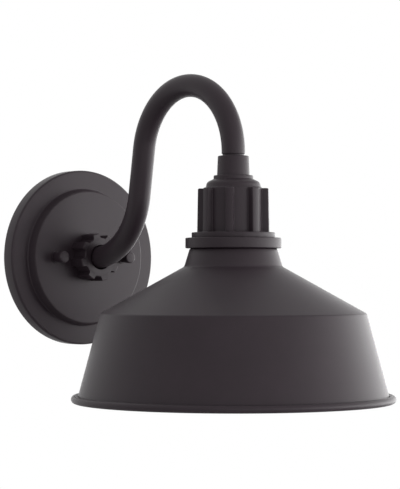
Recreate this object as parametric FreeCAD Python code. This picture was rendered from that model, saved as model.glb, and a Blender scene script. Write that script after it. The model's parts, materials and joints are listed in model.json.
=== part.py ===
import FreeCAD, Part
import math
import os

from FreeCAD import Vector

# A wall light with a hooked tube arm and an open bell shade, in millimetres.
# The origin is the centre of the wall plate's back face, on the wall plane.
# +Z is up and the light stands out of the wall along -Y.
# "Out" below is a distance from the wall plane; the lamp axis is the vertical line through the shade.

# ---- canopy: the round two-tier plate against the wall ----
CANOPY_R = 65.0
CANOPY_TIER_DEPTH = 10.3
CANOPY_RIM_T = 5.0
CANOPY_SKIN = 1.8
CANOPY_EDGE_R = 1.5
DISC_R = 49.0
DISC_FOOT_SPREAD = 1.8
DISC_RISE = 7.0
DISC_EDGE_R = 0.6
DISC_FOOT_FILLET = 1.0

# ---- seal in the canopy's back rim ----
SEAL_W = 2.0
SEAL_DEPTH = 2.0
SEAL_INSET = 1.5
SEAL_GAP = 0.05

# ---- stamped cross plate that the canopy hangs on ----
PLATE_T = 2.0
PLATE_SLOT_ARM_L = 106.0
PLATE_SLOT_ARM_W = 22.0
PLATE_STUD_ARM_L = 80.0
PLATE_STUD_ARM_W = 17.0
PLATE_CORNER_R = 3.0
PLATE_WIRE_HOLE_R = 7.0
SLOT_SPACING = 79.4
SLOT_LENGTH = 24.0
SLOT_W = 4.8

# ---- studs, their nuts, and the cap nuts on the canopy's face ----
STUD_SPACING = 61.0
STUD_R = 2.0
STUD_NUT_AF = 7.0
STUD_NUT_T = 3.2
CANOPY_HOLE_CLEAR = 0.4
WASHER_R = 4.5
WASHER_T = 0.8
CAP_NUT_R = 4.6
CAP_NUT_SEAT_R = 3.4
CAP_NUT_L = 10.3
CAP_NUT_BORE_DEPTH = 7.4
CAP_NUT_EDGE_R = 0.5
CAP_NUT_SEAT_GAP = 0.1
STUD_TIP_GAP = 0.6
RUNNING_GAP = 0.05

# ---- arm tube ----
TUBE_R = 8.0
TUBE_WALL = 1.4
LAMP_REACH = 180.2
ARCH_R = 49.1
LEG_LEAN_DEG = 9.0
ARCH_ABOVE_COLLAR = 2.5
BEND_INSIDE_HUB = 5.4

# ---- ribbed hub round the arm's foot ----
HUB_L = 14.1
HUB_RIB_R = 17.5
HUB_FLOOR_R = 14.4
HUB_RIB_W = 5.7
HUB_RIBS = 8
HUB_RIB_TURN_DEG = 14.0
HUB_MOUTH_GAP = 1.0
HUB_SEAT_L = 6.0
HUB_EDGE_R = 0.7
HUB_SCREW_TURN_DEG = 306.5
RIB_EDGE_R = 0.4

# ---- threaded plugs in the tube's ends, and the hollow rods in them ----
SLIP_GAP = 0.05
PLUG_L = 8.0
ROD_R = 4.9
ROD_BORE_R = 3.4
ROD_IN_PLUG = 7.0
ROD_NUT_AF = 14.0
ROD_NUT_T = 3.2
ROD_WASHER_R = 8.6
ROD_WASHER_T = 1.0
ROD_TAIL = 0.8
GRUB_R = 2.0
GRUB_TIP_GAP = 0.05

# ---- socket cover: ribbed casting over the lamp socket ----
COLLAR_TOP_Z = 67.6
COLLAR_H = 13.3
COLLAR_TOP_R = 10.55
COLLAR_FOOT_R = 11.1
COLLAR_EDGE_R = 0.7
COLLAR_MOUTH_GAP = 0.8
COLLAR_MOUTH_DEPTH = 1.4
TUBE_SEAT_DEPTH = 12.6
BEAD_R = 13.45
BEAD_H = 2.4
BEAD_EDGE_R = 0.6
DOME_DROP = 6.4
DOME_LIP = 0.8
DOME_KNEE_R = 18.0
DOME_KNEE_DROP = 2.2
DOME_FOOT_R = 18.75
DOME_FOOT_DROP = 5.6
DOME_ROUND = 3.5
COVER_FLOOR_R = 20.0
COVER_RIB_H = 29.9
COVER_RIB_TOP_R = 24.0
COVER_RIB_FOOT_R = 24.5
COVER_RIB_W = 5.4
COVER_RIBS = 8
COVER_RIB_TURN_DEG = -2.5
COVER_FLANGE_R = 28.35
COVER_FLANGE_T = 3.7
COVER_WALL = 2.2
COVER_WEB_T = 3.5
COVER_CROWN_R = 11.5
COVER_CROWN_DROP = 7.0

# ---- fitter ring, gasket, retaining ring and their screws ----
FITTER_R = 32.6
FITTER_H = 7.1
FITTER_BORE_R = 20.2
FITTER_EDGE_R = 0.6
SHADE_GASKET_T = 0.8
SHADE_GASKET_R = 28.9
RETAINER_R = 28.0
RETAINER_T = 2.0
SHADE_SCREWS = 3
SHADE_SCREW_CIRCLE_R = 24.2
SHADE_SCREW_TURN_DEG = 90.0
SHADE_SCREW_R = 2.0
SHADE_SCREW_HEAD_R = 3.6
SHADE_SCREW_HEAD_H = 2.2
SHADE_SCREW_TIP_GAP = 1.0
SCREW_CLEAR = 0.2

# ---- spun shade ----
SHADE_T = 1.0
SHADE_MOUTH_R = 19.6
NECK_TOP_R = 29.6
NECK_FOOT_R = 33.4
NECK_H = 12.4
SHOULDER_R = 90.2
CONE_H = 31.7
SKIRT_SLOPE_DEG = 15.0
SKIRT_H = 58.2
RIM_ROLL_R = 2.6
RIM_ROLL_TURN_DEG = 282.0
NECK_TOP_BEND_R = 1.6
NECK_FOOT_BEND_R = 2.5
SHOULDER_BEND_R = 2.0

# ---- lamp socket ----
SOCKET_R = 16.9
SOCKET_H = 39.3
SOCKET_BORE_R = 13.8
SOCKET_BORE_DEPTH = 28.0
SOCKET_EDGE_R = 1.2
SPIGOT_R = 13.2
SPIGOT_H = 3.6
CONTACT_POCKET_R = 5.0
CONTACT_POCKET_DEPTH = 3.0
CONTACT_R = 3.5
CONTACT_T = 1.6
CONTACT_STEM_R = 1.4
SHELL_T = 0.5
SHELL_L = 25.0
SHELL_HOLE_R = 6.5
CAP_T = 1.4
CAP_WALL = 1.2
CAP_H = 11.0
CAP_SCREW_R = 1.2
CAP_SCREW_HEAD_R = 1.9
CAP_SCREW_HEAD_H = 1.3
CAP_SCREW_IN = 3.0
TERMINAL_X = 9.0
TERMINAL_PLATE_T = 0.7
TERMINAL_PLATE_L = 7.0
TERMINAL_PLATE_W = 7.0
TERMINAL_SCREW_R = 1.5
TERMINAL_HEAD_R = 2.8
TERMINAL_HEAD_H = 1.8
TERMINAL_SHANK_IN = 2.6

# ---- lamp: a common round bulb with a 26 mm screw cap ----
LAMP_SEAT_GAP = 0.3
LAMP_CAP_R = 12.95
LAMP_CAP_L = 24.0
LAMP_CAP_T = 0.6
LAMP_COLLAR_TAPER = 2.4
LAMP_TIP_R = 4.6
LAMP_TIP_H = 1.2
BULB_R = 30.0
BULB_L = 82.0
BULB_NECK_R = 12.2
BULB_NECK_L = 6.0
BULB_WALL = 1.0
BULB_IN_CAP = 6.0

# ---- wiring ----
WIRE_R = 1.05
WIRE_SPACING = 3.4
WIRE_TURN_R = 4.0
LEAD_END_Z = 24.0
TERMINAL_TURN_R = 3.3
WIRE_FIT = 0.05
CONNECTOR_GAP = 0.3
CONNECTOR_TAPER = 0.8
CONNECTOR_L = 16.0
CONNECTOR_BORE_DEPTH = 8.0
GROUND_X = 14.0
GROUND_WIRE_R = 0.9
GROUND_SCREW_R = 2.0
GROUND_HEAD_R = 3.8
GROUND_HEAD_H = 2.2
LUG_T = 0.8
LUG_RIM = 2.0
LUG_TONGUE_W = 3.0
GROUND_LUG_REACH = 9.0
GROUND_LOOP_Z = 12.0

# ---- places worked out from the sizes above ----
CANOPY_DEPTH = CANOPY_TIER_DEPTH + DISC_RISE
CANOPY_INNER = CANOPY_DEPTH - CANOPY_SKIN
HUB_FACE = CANOPY_DEPTH + HUB_L
STUD_X = STUD_SPACING / 2
NUT_SEAT = CANOPY_DEPTH + WASHER_T

COLLAR_FOOT_Z = COLLAR_TOP_Z - COLLAR_H
BEAD_FOOT_Z = COLLAR_FOOT_Z - BEAD_H
RIB_TOP_Z = BEAD_FOOT_Z - DOME_DROP
FLANGE_TOP_Z = RIB_TOP_Z - COVER_RIB_H
COVER_FOOT_Z = FLANGE_TOP_Z - COVER_FLANGE_T
FITTER_FOOT_Z = COVER_FOOT_Z - FITTER_H
SHADE_TOP_Z = FITTER_FOOT_Z
GASKET_TOP_Z = FITTER_FOOT_Z + SHADE_GASKET_T
RETAINER_TOP_Z = SHADE_TOP_Z - SHADE_T
RETAINER_FOOT_Z = RETAINER_TOP_Z - RETAINER_T

TUBE_END_Z = COLLAR_TOP_Z - TUBE_SEAT_DEPTH
WEB_FOOT_Z = TUBE_END_Z - COVER_WEB_T
ROD_NUT_FOOT_Z = WEB_FOOT_Z - ROD_WASHER_T - ROD_NUT_T
CAP_TOP_Z = ROD_NUT_FOOT_Z
CAP_FOOT_Z = CAP_TOP_Z - CAP_H
SOCKET_TOP_Z = CAP_FOOT_Z
SPIGOT_TOP_Z = SOCKET_TOP_Z + SPIGOT_H
SOCKET_FOOT_Z = SOCKET_TOP_Z - SOCKET_H
SOCKET_BORE_TOP_Z = SOCKET_FOOT_Z + SOCKET_BORE_DEPTH
CONTACT_FACE_Z = SOCKET_BORE_TOP_Z
LAMP_TOP_Z = CONTACT_FACE_Z - LAMP_SEAT_GAP
LAMP_CAP_FOOT_Z = LAMP_TOP_Z - LAMP_TIP_H - LAMP_COLLAR_TAPER - LAMP_CAP_L
COVER_CAVITY_R = COVER_FLOOR_R - COVER_WALL

BORE_R = TUBE_R - TUBE_WALL
ARCH_Z = COLLAR_TOP_Z + ARCH_ABOVE_COLLAR
WIRE_X = WIRE_SPACING / 2
TERMINAL_WIRE_Z = SPIGOT_TOP_Z + TERMINAL_PLATE_T + WIRE_R + WIRE_FIT
ROD_WALL_END = CANOPY_INNER - LUG_T - ROD_WASHER_T - ROD_NUT_T - ROD_TAIL
LEAD_OUT = ROD_WALL_END - WIRE_TURN_R
CONNECTOR_R = LEAD_OUT - PLATE_T - CONNECTOR_GAP


# ---- flat outlines ----

def wall_point(radius, out):
    """A point beside the canopy's axis."""
    return Vector(radius, -out, 0)


def lamp_point(radius, z):
    """A point beside the lamp axis."""
    return Vector(radius, -LAMP_REACH, z)


def heading(a, b):
    """The unit direction from a to b."""
    length = math.hypot(b[0] - a[0], b[1] - a[1])
    return ((b[0] - a[0]) / length, (b[1] - a[1]) / length)


def rounded_corner(before, corner, after, radius, inset=0.0):
    """Start, middle and end of a corner's arc, moved `inset` to the right of the way it is walked."""
    d0 = heading(before, corner)
    d1 = heading(corner, after)
    cross = d0[0] * d1[1] - d0[1] * d1[0]
    turn = math.atan2(cross, d0[0] * d1[0] + d0[1] * d1[1])
    side = 1.0 if turn > 0 else -1.0
    back = radius * math.tan(abs(turn) / 2)
    start = (corner[0] - d0[0] * back, corner[1] - d0[1] * back)
    centre = (start[0] - d0[1] * side * radius, start[1] + d0[0] * side * radius)
    reach = radius + side * inset
    arc = []
    for share in (0.0, 0.5, 1.0):
        angle = math.atan2(-d0[0] * side, d0[1] * side) + turn * share
        arc.append((centre[0] + reach * math.cos(angle), centre[1] + reach * math.sin(angle)))
    return arc


def line(a, b, place):
    return Part.LineSegment(place(*a), place(*b)).toShape()


def arc(a, middle, b, place):
    return Part.Arc(place(*a), place(*middle), place(*b)).toShape()


def closed_face(points, place):
    """A face whose corners are (across, along) or (across, along, rounding radius)."""
    count = len(points)
    corners = []
    for i, point in enumerate(points):
        if len(point) == 3:
            corners.append(rounded_corner(points[i - 1], point, points[(i + 1) % count], point[2]))
        else:
            corners.append([point])
    edges = []
    for i, corner in enumerate(corners):
        if len(corner) == 3:
            edges.append(arc(*corner, place))
        edges.append(line(corner[-1], corners[(i + 1) % count][0], place))
    return Part.Face(Part.Wire(edges))


def skin_face(points, bends, thickness, roll_radius, roll_turn_deg, place):
    """A strip of even thickness under the outline `points`, ended by a roll towards its outside."""
    sides = []
    end = points[-1]
    d = heading(points[-2], end)
    eye_radius = roll_radius - thickness
    eye = (end[0] - d[1] * eye_radius, end[1] + d[0] * eye_radius)
    first = math.atan2(-d[0], d[1])
    for inset in (0.0, thickness):
        d_start = heading(points[0], points[1])
        last = (points[0][0] + d_start[1] * inset, points[0][1] - d_start[0] * inset)
        side = [last]
        edges = []
        for i in range(1, len(points) - 1):
            corner = rounded_corner(points[i - 1], points[i], points[i + 1], bends[i - 1], inset)
            edges.append(line(last, corner[0], place))
            edges.append(arc(*corner, place))
            last = corner[-1]
        roll = []
        for share in (0.0, 0.5, 1.0):
            angle = first + math.radians(roll_turn_deg) * share
            reach = eye_radius + inset
            roll.append((eye[0] + reach * math.cos(angle), eye[1] + reach * math.sin(angle)))
        edges.append(line(last, roll[0], place))
        edges.append(arc(*roll, place))
        side.append(roll[-1])
        sides.append((side, edges))
    (outer_ends, outer), (inner_ends, inner) = sides
    tip = line(outer_ends[1], inner_ends[1], place)
    mouth = line(inner_ends[0], outer_ends[0], place)
    return Part.Face(Part.Wire(outer + [tip] + inner[::-1] + [mouth]))


# ---- solids ----

def turned_on_wall(points):
    """Turned about the canopy's axis; points are (radius, out)."""
    return closed_face(points, wall_point).revolve(Vector(0, 0, 0), Vector(0, 1, 0), 360)


def turned_on_lamp(points):
    """Turned about the lamp axis; points are (radius, z)."""
    return closed_face(points, lamp_point).revolve(lamp_point(0, 0), Vector(0, 0, 1), 360)


def rod_out(radius, start, end, x=0.0, z=0.0):
    """A cylinder along the way out of the wall."""
    return Part.makeCylinder(radius, end - start, Vector(x, -start, z), Vector(0, -1, 0))


def rod_up(radius, foot, top, x=0.0, y=0.0):
    """A cylinder beside the lamp axis, moved by x and y from it."""
    return Part.makeCylinder(radius, top - foot, lamp_point(x, foot) + Vector(0, y, 0))


def ring_out(radius, hole, start, end, x=0.0, z=0.0):
    return rod_out(radius, start, end, x, z).cut(rod_out(hole, start, end, x, z))


def ring_up(radius, hole, foot, top):
    return rod_up(radius, foot, top).cut(rod_up(hole, foot, top))


def hexagon(across_flats, centre, across, up, length):
    """A hexagonal prism from `centre`, with one corner towards `across`, along across x up."""
    corner_r = across_flats / math.sqrt(3)
    points = []
    for i in range(7):
        angle = math.radians(60 * i)
        points.append(centre + across * corner_r * math.cos(angle) + up * corner_r * math.sin(angle))
    return Part.Face(Part.makePolygon(points)).extrude(across.cross(up) * length)


def hex_nut_out(across_flats, hole, start, end, x=0.0, z=0.0):
    """A nut on a stud that stands out of the wall."""
    blank = hexagon(across_flats, Vector(x, -end, z), Vector(0, 0, 1), Vector(1, 0, 0), end - start)
    return blank.cut(rod_out(hole, start, end, x, z))


def ribs(envelope, axis_point, axis, first, width, count, turn_deg, reach, length):
    """Flat-sided radial ribs cut from a turned envelope."""
    rib_set = []
    side = axis.cross(first)
    for i in range(count):
        corner = axis_point - side * (width / 2)
        face = Part.Face(Part.makePolygon([
            corner, corner + first * reach, corner + first * reach + side * width,
            corner + side * width, corner]))
        blade = face.extrude(axis * length)
        blade.rotate(axis_point, axis, turn_deg + 360.0 * i / count)
        rib_set.append(blade.common(envelope))
    return rib_set


def soften(shape, radius, chosen):
    """Round the chosen edges."""
    edges = [edge for edge in shape.Edges if chosen(edge)]
    return shape.makeFillet(radius, edges)


def swept(edges, radius):
    """A round bar along a chain of lines and tangent arcs, with its volume compared with its length."""
    path = Part.Wire(edges)
    start = edges[0].Vertexes[0].Point
    way = edges[0].tangentAt(edges[0].FirstParameter)
    section = Part.Wire(Part.makeCircle(radius, start, way))
    bar = path.makePipeShell([section], True, False)
    expected = math.pi * radius ** 2 * path.Length
    print("swept bar: length %.2f, volume / expected %.5f" % (path.Length, bar.Volume / expected))
    return bar


# ---- the arm's route ----

def arm_edges(x, start_out, end_z):
    """Out of the hub, up a leaning leg, over the arch and down the lamp axis, in the plane x."""
    lean = math.radians(LEG_LEAN_DEG)
    turn = math.pi / 2 - lean
    arch_out = LAMP_REACH - ARCH_R
    leg_top = (arch_out - ARCH_R * math.cos(lean), ARCH_Z + ARCH_R * math.sin(lean))
    knee_out = leg_top[0] - leg_top[1] * math.tan(lean)
    bend_out = HUB_FACE - BEND_INSIDE_HUB
    tangent = knee_out - bend_out
    bend_r = tangent / math.tan(turn / 2)
    bend_mid = (bend_out + bend_r * math.sin(turn / 2), bend_r - bend_r * math.cos(turn / 2))
    leg_foot = (knee_out + tangent * math.sin(lean), tangent * math.cos(lean))
    arch_mid_angle = (math.pi - lean) / 2
    arch_mid = (arch_out + ARCH_R * math.cos(arch_mid_angle), ARCH_Z + ARCH_R * math.sin(arch_mid_angle))

    def place(out, z):
        return Vector(x, -out, z)

    return [
        line((start_out, 0), (bend_out, 0), place),
        arc((bend_out, 0), bend_mid, leg_foot, place),
        line(leg_foot, leg_top, place),
        arc(leg_top, arch_mid, (LAMP_REACH, ARCH_Z), place),
        line((LAMP_REACH, ARCH_Z), (LAMP_REACH, end_z), place),
    ]


def lead_edges(side):
    """One supply lead: from its connector behind the canopy, through the arm, to its terminal."""
    x = side * WIRE_X
    up = -side

    def wall_plane(out, z):
        return Vector(x, -out, z * up)

    def terminal_plane(across, z):
        return Vector(side * across, -LAMP_REACH, z)

    corner = rounded_corner((LEAD_OUT, LEAD_END_Z), (LEAD_OUT, 0), (ROD_WALL_END + 1, 0), WIRE_TURN_R)
    drop_end = (WIRE_X, TERMINAL_WIRE_Z)
    stop = (TERMINAL_X - TERMINAL_SCREW_R - WIRE_FIT, TERMINAL_WIRE_Z)
    drop = rounded_corner((WIRE_X, TUBE_END_Z), drop_end, stop, TERMINAL_TURN_R)
    edges = [line((LEAD_OUT, LEAD_END_Z), corner[0], wall_plane), arc(*corner, wall_plane)]
    edges += arm_edges(x, corner[-1][0], drop[0][1])
    edges += [arc(*drop, terminal_plane), line(drop[-1], stop, terminal_plane)]
    return edges


# ---- pieces at the wall ----

def canopy():
    rim_in = CANOPY_R - CANOPY_RIM_T
    groove_out = CANOPY_R - SEAL_INSET
    groove_in = groove_out - SEAL_W
    foot_r = DISC_R + DISC_FOOT_SPREAD
    skin_out = CANOPY_TIER_DEPTH - CANOPY_SKIN
    hole = ROD_R + CANOPY_HOLE_CLEAR
    shell = turned_on_wall([
        (hole, CANOPY_DEPTH),
        (DISC_R, CANOPY_DEPTH, DISC_EDGE_R),
        (foot_r, CANOPY_TIER_DEPTH, DISC_FOOT_FILLET),
        (CANOPY_R, CANOPY_TIER_DEPTH, CANOPY_EDGE_R),
        (CANOPY_R, 0),
        (groove_out, 0),
        (groove_out, SEAL_DEPTH),
        (groove_in, SEAL_DEPTH),
        (groove_in, 0),
        (rim_in, 0),
        (rim_in, skin_out),
        (foot_r - CANOPY_SKIN, skin_out),
        (DISC_R - CANOPY_SKIN, CANOPY_INNER),
        (hole, CANOPY_INNER),
    ])
    for x in (-STUD_X, STUD_X):
        shell = shell.cut(rod_out(STUD_R + CANOPY_HOLE_CLEAR, 0, CANOPY_DEPTH + 1, x))
    return shell


def wall_seal():
    outer = CANOPY_R - SEAL_INSET - SEAL_GAP
    return ring_out(outer, outer - SEAL_W + 2 * SEAL_GAP, 0, SEAL_DEPTH - SEAL_GAP)


def rounded_bar(length, width, along):
    """A flat bar on the wall plane with rounded corners, along X or Z."""
    size = (length, width) if along == "x" else (width, length)
    half = (size[0] / 2, size[1] / 2, PLATE_CORNER_R)
    points = [
        (-half[0], -half[1], PLATE_CORNER_R), (half[0], -half[1], PLATE_CORNER_R),
        (half[0], half[1], PLATE_CORNER_R), (-half[0], half[1], PLATE_CORNER_R)]
    return closed_face(points, lambda x, z: Vector(x, 0, z)).extrude(Vector(0, -PLATE_T, 0))


def slot_cutter(z):
    """A round-ended slot along Z."""
    reach = (SLOT_LENGTH - SLOT_W) / 2
    box = Part.makeBox(SLOT_W, PLATE_T, 2 * reach, Vector(-SLOT_W / 2, -PLATE_T, z - reach))
    ends = [rod_out(SLOT_W / 2, 0, PLATE_T, 0, z + way * reach) for way in (-1, 1)]
    return box.fuse(ends)


def mounting_plate():
    plate = rounded_bar(PLATE_SLOT_ARM_L, PLATE_SLOT_ARM_W, "z")
    plate = plate.fuse(rounded_bar(PLATE_STUD_ARM_L, PLATE_STUD_ARM_W, "x")).removeSplitter()
    plate = plate.cut(rod_out(PLATE_WIRE_HOLE_R, 0, PLATE_T))
    for way in (-1, 1):
        plate = plate.cut(slot_cutter(way * SLOT_SPACING / 2))
        plate = plate.cut(rod_out(STUD_R + SLIP_GAP, 0, PLATE_T, way * STUD_X))
    return plate.cut(rod_out(GROUND_SCREW_R + SLIP_GAP, 0, PLATE_T, GROUND_X))


def both_studs(make):
    """The same piece on both studs."""
    return Part.makeCompound([make(-STUD_X), make(STUD_X)])


def canopy_studs():
    tip = NUT_SEAT + CAP_NUT_SEAT_GAP + CAP_NUT_BORE_DEPTH - STUD_TIP_GAP
    return both_studs(lambda x: rod_out(STUD_R, 0, tip, x))


def stud_locknuts():
    hole = STUD_R + SLIP_GAP
    return both_studs(lambda x: hex_nut_out(STUD_NUT_AF, hole, PLATE_T, PLATE_T + STUD_NUT_T, x))


def cap_nut_washers():
    hole = STUD_R + CANOPY_HOLE_CLEAR
    return both_studs(lambda x: ring_out(WASHER_R, hole, CANOPY_DEPTH, NUT_SEAT, x))


def cap_nut(x):
    """A round blind nut that tapers towards the canopy."""
    seat = NUT_SEAT + CAP_NUT_SEAT_GAP
    front = seat + CAP_NUT_L
    bore_r = STUD_R + RUNNING_GAP
    bore_end = seat + CAP_NUT_BORE_DEPTH
    nut = turned_on_wall([
        (bore_r, seat),
        (CAP_NUT_SEAT_R, seat),
        (CAP_NUT_R, front, CAP_NUT_EDGE_R),
        (0, front),
        (0, bore_end),
        (bore_r, bore_end),
    ])
    nut.translate(Vector(x, 0, 0))
    return nut


def hub():
    """The ribbed boss that the arm stands in."""
    outline = [
        (0, CANOPY_DEPTH), (HUB_RIB_R, CANOPY_DEPTH),
        (HUB_RIB_R, HUB_FACE, HUB_EDGE_R), (0, HUB_FACE)]
    envelope = turned_on_wall(outline)
    rib_set = ribs(envelope, wall_point(0, CANOPY_DEPTH), Vector(0, -1, 0), Vector(1, 0, 0),
                   HUB_RIB_W, HUB_RIBS, HUB_RIB_TURN_DEG, HUB_RIB_R + 1, HUB_L)
    body = rod_out(HUB_FLOOR_R, CANOPY_DEPTH, HUB_FACE).fuse(rib_set).removeSplitter()
    seat_end = CANOPY_DEPTH + HUB_SEAT_L
    body = body.cut(rod_out(TUBE_R + SLIP_GAP, CANOPY_DEPTH, seat_end))
    body = body.cut(rod_out(TUBE_R + HUB_MOUTH_GAP, seat_end, HUB_FACE))
    body = soften(body, RIB_EDGE_R, is_hub_rib_edge)
    return body.cut(hub_grub(GRUB_R + SLIP_GAP, HUB_RIB_R))


def is_hub_rib_edge(edge):
    """The long edges at the outside of the hub's ribs."""
    if edge.Curve.TypeId != "Part::GeomLine":
        return False
    middle = edge.CenterOfMass
    away = math.hypot(middle.x, middle.z)
    return abs(away - HUB_RIB_R) < 0.05 and edge.Length > HUB_L / 2


def hub_grub(radius, reach):
    """The place of the grub screw that holds the hub on the arm."""
    angle = math.radians(HUB_SCREW_TURN_DEG)
    way = Vector(math.cos(angle), 0, math.sin(angle))
    out = CANOPY_DEPTH + HUB_SEAT_L / 2
    start = TUBE_R + GRUB_TIP_GAP
    return Part.makeCylinder(radius, reach - start, Vector(0, -out, 0) + way * start, way)


def hub_set_screw():
    return hub_grub(GRUB_R, HUB_FLOOR_R - GRUB_R / 4)


# ---- the arm ----

def arm_tube():
    outer = swept(arm_edges(0, CANOPY_DEPTH, TUBE_END_Z), TUBE_R)
    inner = swept(arm_edges(0, CANOPY_DEPTH, TUBE_END_Z), BORE_R)
    return outer.cut(inner)


def arm_end_plugs():
    """Threaded plugs brazed into both ends of the tube."""
    radius = BORE_R - SLIP_GAP
    hole = ROD_R + SLIP_GAP
    wall_plug = ring_out(radius, hole, CANOPY_DEPTH, CANOPY_DEPTH + PLUG_L)
    lamp_plug = ring_up(radius, hole, TUBE_END_Z, TUBE_END_Z + PLUG_L)
    return Part.makeCompound([wall_plug, lamp_plug])


def canopy_rod():
    """The hollow threaded rod that pulls the arm against the canopy."""
    return ring_out(ROD_R, ROD_BORE_R, ROD_WALL_END, CANOPY_DEPTH + ROD_IN_PLUG)


def socket_rod():
    """The hollow threaded rod that hangs the socket and its cover on the arm."""
    return ring_up(ROD_R, ROD_BORE_R, CAP_TOP_Z - CAP_T, TUBE_END_Z + ROD_IN_PLUG)


def canopy_rod_washer():
    start = CANOPY_INNER - LUG_T - ROD_WASHER_T
    return ring_out(ROD_WASHER_R, ROD_R + SLIP_GAP, start, start + ROD_WASHER_T)


def canopy_rod_nut():
    end = CANOPY_INNER - LUG_T - ROD_WASHER_T
    return hex_nut_out(ROD_NUT_AF, ROD_R + SLIP_GAP, end - ROD_NUT_T, end)


def socket_rod_washer():
    return ring_up(ROD_WASHER_R, ROD_R + SLIP_GAP, WEB_FOOT_Z - ROD_WASHER_T, WEB_FOOT_Z)


def socket_rod_nut():
    blank = hexagon(ROD_NUT_AF, lamp_point(0, ROD_NUT_FOOT_Z), Vector(1, 0, 0), Vector(0, 1, 0), ROD_NUT_T)
    return blank.cut(rod_up(ROD_R + SLIP_GAP, ROD_NUT_FOOT_Z, ROD_NUT_FOOT_Z + ROD_NUT_T))


# ---- pieces round the socket ----

def socket_cover():
    mouth_z = COLLAR_TOP_Z - COLLAR_MOUTH_DEPTH
    core = turned_on_lamp([
        (TUBE_R + COLLAR_MOUTH_GAP, COLLAR_TOP_Z),
        (COLLAR_TOP_R, COLLAR_TOP_Z, COLLAR_EDGE_R),
        (COLLAR_FOOT_R, COLLAR_FOOT_Z),
        (BEAD_R, COLLAR_FOOT_Z, BEAD_EDGE_R),
        (BEAD_R, BEAD_FOOT_Z),
        (BEAD_R + DOME_LIP, BEAD_FOOT_Z - DOME_LIP / 2),
        (DOME_KNEE_R, BEAD_FOOT_Z - DOME_KNEE_DROP, DOME_ROUND),
        (DOME_FOOT_R, BEAD_FOOT_Z - DOME_FOOT_DROP),
        (COVER_FLOOR_R, RIB_TOP_Z),
        (COVER_FLOOR_R, FLANGE_TOP_Z),
        (COVER_FLANGE_R, FLANGE_TOP_Z, BEAD_EDGE_R),
        (COVER_FLANGE_R, COVER_FOOT_Z),
        (COVER_CAVITY_R, COVER_FOOT_Z),
        (COVER_CAVITY_R, WEB_FOOT_Z - COVER_CROWN_DROP),
        (COVER_CROWN_R, WEB_FOOT_Z),
        (ROD_R + SCREW_CLEAR, WEB_FOOT_Z),
        (ROD_R + SCREW_CLEAR, TUBE_END_Z),
        (TUBE_R + SLIP_GAP, TUBE_END_Z),
        (TUBE_R + SLIP_GAP, mouth_z),
        (TUBE_R + COLLAR_MOUTH_GAP, mouth_z),
    ])
    rib_foot = lamp_point(0, FLANGE_TOP_Z)
    envelope = turned_on_lamp([
        (COVER_CAVITY_R + COVER_WALL / 2, FLANGE_TOP_Z), (COVER_RIB_FOOT_R, FLANGE_TOP_Z),
        (COVER_RIB_TOP_R, RIB_TOP_Z, BEAD_EDGE_R), (COVER_CAVITY_R + COVER_WALL / 2, RIB_TOP_Z)])
    rib_set = ribs(envelope, rib_foot, Vector(0, 0, 1), Vector(0, -1, 0),
                   COVER_RIB_W, COVER_RIBS, COVER_RIB_TURN_DEG, COVER_RIB_FOOT_R + 1, COVER_RIB_H)
    body = soften(core.fuse(rib_set).removeSplitter(), RIB_EDGE_R, is_cover_rib_edge)
    thread_top = FLANGE_TOP_Z - SHADE_SCREW_TIP_GAP
    for x, y in shade_screw_places():
        body = body.cut(rod_up(SHADE_SCREW_R + SLIP_GAP, COVER_FOOT_Z, thread_top, x, y))
    return body.cut(collar_grub(GRUB_R + SLIP_GAP, COLLAR_FOOT_R + 1))


def is_cover_rib_edge(edge):
    """The long edges at the outside of the cover's ribs."""
    if edge.Length < COVER_RIB_H / 2:
        return False
    middle = edge.CenterOfMass
    away = math.hypot(middle.x, middle.y + LAMP_REACH)
    return away > (COVER_FLOOR_R + COVER_RIB_TOP_R) / 2 and abs(edge.tangentAt(edge.FirstParameter).z) > 0.9


def collar_grub(radius, reach):
    """The place of the grub screw in the collar's side towards the wall."""
    z = COLLAR_FOOT_Z + COLLAR_H / 2
    start = TUBE_R + GRUB_TIP_GAP
    return Part.makeCylinder(radius, reach - start, Vector(0, -LAMP_REACH + start, z), Vector(0, 1, 0))


def cover_set_screw():
    return collar_grub(GRUB_R, COLLAR_TOP_R)


def shade_screw_places():
    """Where the shade's screws stand beside the lamp axis."""
    places = []
    for i in range(SHADE_SCREWS):
        angle = math.radians(SHADE_SCREW_TURN_DEG + 360.0 * i / SHADE_SCREWS)
        places.append((SHADE_SCREW_CIRCLE_R * math.cos(angle), SHADE_SCREW_CIRCLE_R * math.sin(angle)))
    return places


def drilled_for_screws(shape, foot, top):
    """The shape with clearance holes for the shade's screws."""
    for x, y in shade_screw_places():
        shape = shape.cut(rod_up(SHADE_SCREW_R + SCREW_CLEAR, foot, top, x, y))
    return shape


def fitter_ring():
    ring = turned_on_lamp([
        (FITTER_BORE_R, COVER_FOOT_Z),
        (FITTER_R, COVER_FOOT_Z, FITTER_EDGE_R),
        (FITTER_R, FITTER_FOOT_Z, FITTER_EDGE_R),
        (SHADE_GASKET_R + SLIP_GAP, FITTER_FOOT_Z),
        (SHADE_GASKET_R + SLIP_GAP, GASKET_TOP_Z),
        (FITTER_BORE_R, GASKET_TOP_Z),
    ])
    return drilled_for_screws(ring, FITTER_FOOT_Z, COVER_FOOT_Z)


def shade_gasket():
    """A flat ring let into the fitter ring's underside."""
    ring = ring_up(SHADE_GASKET_R, FITTER_BORE_R, SHADE_TOP_Z, GASKET_TOP_Z)
    return drilled_for_screws(ring, SHADE_TOP_Z, GASKET_TOP_Z)


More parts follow.
